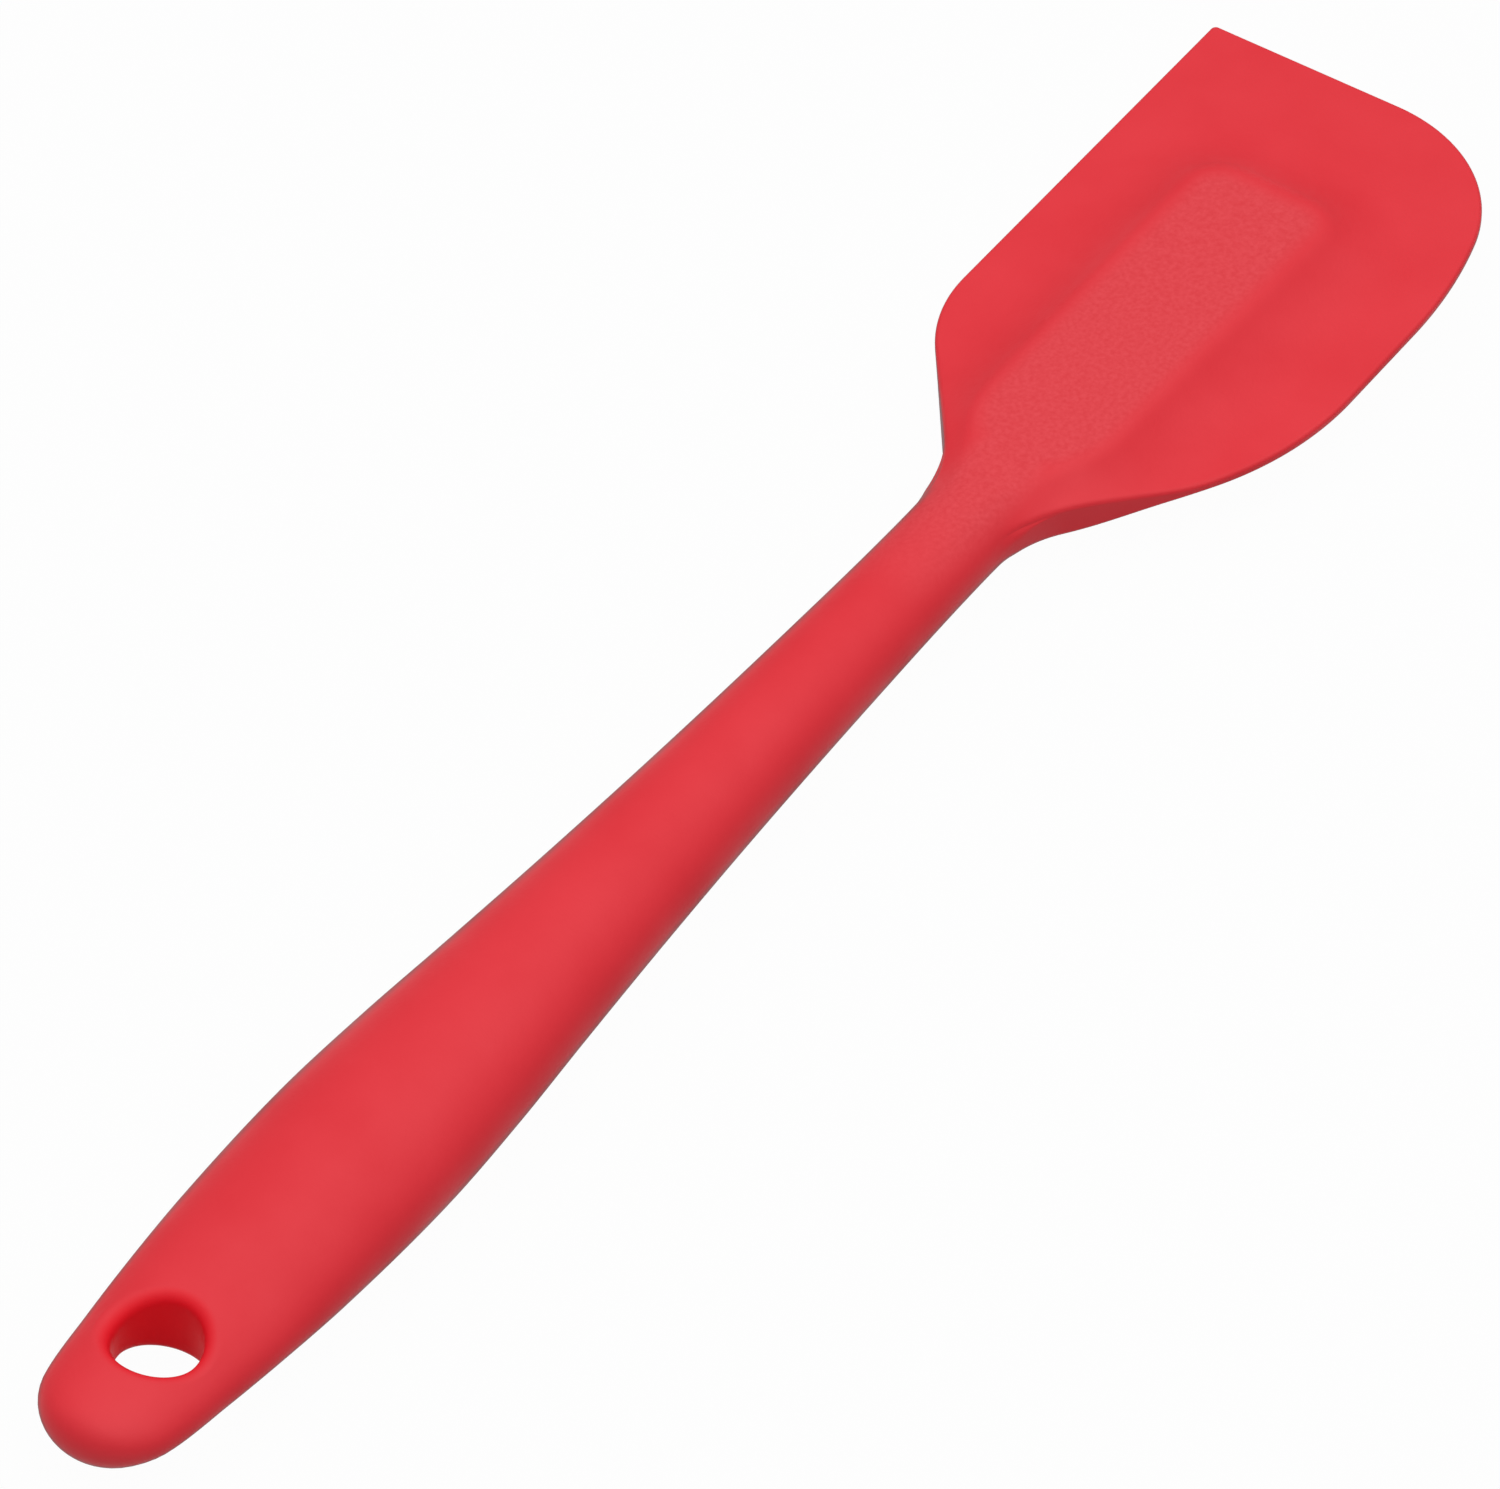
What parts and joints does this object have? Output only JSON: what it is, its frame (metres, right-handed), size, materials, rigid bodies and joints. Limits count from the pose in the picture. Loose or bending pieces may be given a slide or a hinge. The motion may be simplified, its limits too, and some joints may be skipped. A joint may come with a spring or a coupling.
{
  "type": "silicone spatula",
  "caption": "Silicone spatula with a swelling oval handle, a hanging hole, a raised flat panel and a thin flexible blade, square at one corner and rounded at the other.",
  "frame": {"origin": "middle of the hanging hole, at half the handle's thickness", "axes": "+X along the handle to the blade's front edge, +Y to the blade's straight side, +Z along the hanging hole"},
  "size_m": [0.28, 0.0526, 0.0156],
  "materials": {
    "silicone_skin": "satin red silicone, a little frosted on the raised panel",
    "nylon": "matte glass-filled nylon",
    "spring_steel": "rolled strip with punched holes"
  },
  "bodies": {
    "root": {"silicone_cover": "silicone_skin", "nylon_core": "nylon", "steel_spine": "spring_steel"}
  },
  "joints": []
}
